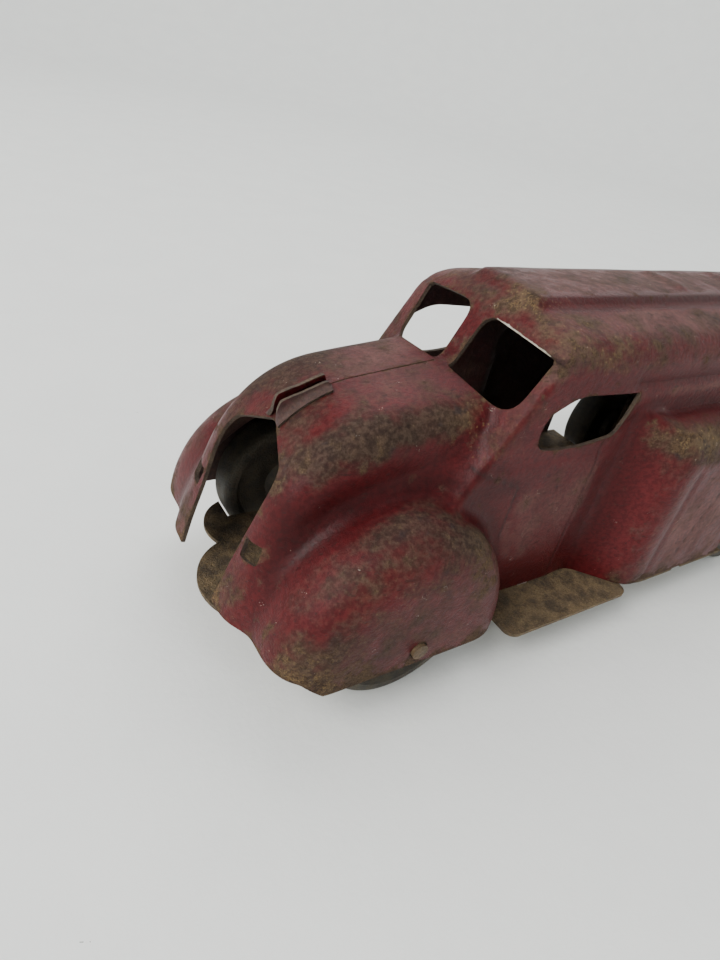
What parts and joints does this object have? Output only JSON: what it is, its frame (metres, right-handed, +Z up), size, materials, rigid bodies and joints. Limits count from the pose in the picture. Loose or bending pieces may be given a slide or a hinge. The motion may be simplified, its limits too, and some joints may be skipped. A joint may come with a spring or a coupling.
{
  "type": "toy tanker truck",
  "caption": "Pressed-steel toy tanker truck with an open nose, free front wheels on a fixed axle and a geared flywheel drive on the rear axle.",
  "frame": {"origin": "middle of the overall length and width, on the ground under the wheels", "axes": "+X forward to the nose, +Y to the truck's left, +Z up"},
  "size_m": [0.1965, 0.0654, 0.0707],
  "materials": {
    "red_paint": "worn and rusted",
    "bare_steel": "rusted",
    "axle_steel": "dull",
    "wheel_rubber": "dusty",
    "gear_brass": "dull",
    "flywheel_steel": "dull"
  },
  "bodies": {
    "chassis": {"body_shell": "red_paint", "base_plate": "bare_steel", "front_axle": "axle_steel", "drive_frame_left": "bare_steel", "drive_frame_right": "bare_steel", "frame_pillars": "axle_steel", "frame_rivets": "axle_steel"},
    "front_left": {"front_wheel_left": "wheel_rubber"},
    "front_right": {"front_wheel_right": "wheel_rubber"},
    "rear_drive": {"rear_axle": "axle_steel", "rear_wheel_left": "wheel_rubber", "rear_wheel_right": "wheel_rubber", "axle_gear": "gear_brass"},
    "idler": {"idler_shaft": "axle_steel", "idler_gear": "gear_brass", "idler_pinion": "gear_brass"},
    "flywheel": {"flywheel_shaft": "axle_steel", "flywheel_pinion": "gear_brass", "flywheel_left": "flywheel_steel", "flywheel_right": "flywheel_steel"}
  },
  "joints": [
    {"name": "front_left_spin", "type": "hinge", "parent": "chassis", "child": "front_left", "pos_m": [0.06875, 0, 0.0153], "axis": [0, 1, 0], "continuous": true},
    {"name": "front_right_spin", "type": "hinge", "parent": "chassis", "child": "front_right", "pos_m": [0.06875, 0, 0.0153], "axis": [0, 1, 0], "continuous": true},
    {"name": "rear_axle_spin", "type": "hinge", "parent": "chassis", "child": "rear_drive", "pos_m": [-0.04725, 0, 0.0153], "axis": [0, 1, 0], "continuous": true},
    {"name": "idler_spin", "type": "hinge", "parent": "chassis", "child": "idler", "pos_m": [-0.05322, 0, 0.02564], "axis": [0, 1, 0], "continuous": true},
    {"name": "flywheel_spin", "type": "hinge", "parent": "chassis", "child": "flywheel", "pos_m": [-0.05013, 0, 0.03717], "axis": [0, 1, 0], "continuous": true}
  ],
  "couplings": [
    {"joint": "idler_spin", "follows": "rear_axle_spin", "ratio": -2.4},
    {"joint": "flywheel_spin", "follows": "rear_axle_spin", "ratio": 5.76}
  ]
}
